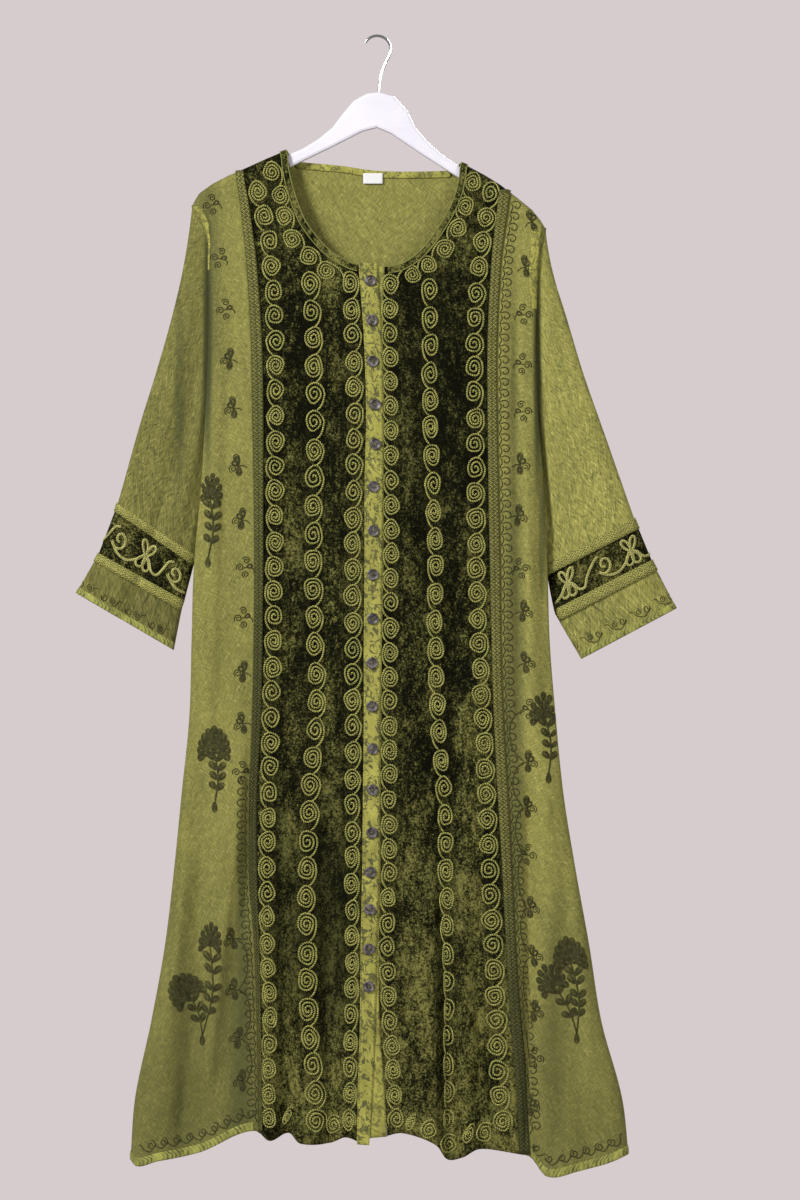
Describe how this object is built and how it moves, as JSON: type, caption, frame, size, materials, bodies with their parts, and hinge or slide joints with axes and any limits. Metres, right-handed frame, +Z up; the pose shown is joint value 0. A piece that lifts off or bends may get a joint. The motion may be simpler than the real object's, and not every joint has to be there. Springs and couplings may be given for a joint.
{
  "type": "kaftan on a hanger",
  "caption": "Long button-through kaftan with straight sleeves, velvet front panels, coiled cord columns and trims, hanging flat on a shaped hanger with a wire hook.",
  "frame": {"origin": "where the inside top of the hook bears on a rail", "axes": "+Z up along the hanging length, -Y the side of the wearer's front, +X to the viewer's right seen from the front"},
  "size_m": [0.793, 0.0864, 1.5046],
  "materials": {
    "woven_green": "plain woven viscose, overdyed olive green, matt",
    "crushed_velvet": "crushed velvet, near black-green with light crush marks",
    "bright_green_binding": "plain woven, yellow-green",
    "woven_trim": "embroidered tape, dark and light green",
    "coiled_cord": "twisted cord, yellow-green",
    "button": "mottled purple-brown, polished",
    "label_cloth": "white woven label, bare",
    "painted_wood": "white satin paint",
    "chrome": "bright plated wire"
  },
  "bodies": {
    "root": {"side_front_left": "woven_green", "side_front_right": "woven_green", "back": "woven_green", "upper_sleeve_left": "woven_green", "upper_sleeve_right": "woven_green", "cuff_left": "woven_green", "cuff_right": "woven_green", "velvet_front_left": "crushed_velvet", "velvet_front_right": "crushed_velvet", "sleeve_band_left": "crushed_velvet", "sleeve_band_right": "crushed_velvet", "neck_strip_left": "crushed_velvet", "neck_strip_right": "crushed_velvet", "under_placket": "bright_green_binding", "placket": "bright_green_binding", "back_neck_binding": "bright_green_binding", "trim_left": "woven_trim", "trim_right": "woven_trim", "sleeve_trim_upper_left": "woven_trim", "sleeve_trim_upper_right": "woven_trim", "sleeve_trim_lower_left": "woven_trim", "sleeve_trim_lower_right": "woven_trim", "coil_cord_inner_left": "coiled_cord", "coil_cord_inner_right": "coiled_cord", "coil_cord_middle_left": "coiled_cord", "coil_cord_middle_right": "coiled_cord", "coil_cord_outer_left": "coiled_cord", "coil_cord_outer_right": "coiled_cord", "coil_cord_neck_left": "coiled_cord", "coil_cord_neck_right": "coiled_cord", "button_01": "button", "button_02": "button", "button_03": "button", "button_04": "button", "button_05": "button", "button_06": "button", "button_07": "button", "button_08": "button", "button_09": "button", "button_10": "button", "button_11": "button", "button_12": "button", "button_13": "button", "button_14": "button", "button_15": "button", "button_16": "button", "button_17": "button", "button_18": "button", "neck_label": "label_cloth", "hanger_body": "painted_wood", "hook": "chrome"}
  },
  "joints": []
}
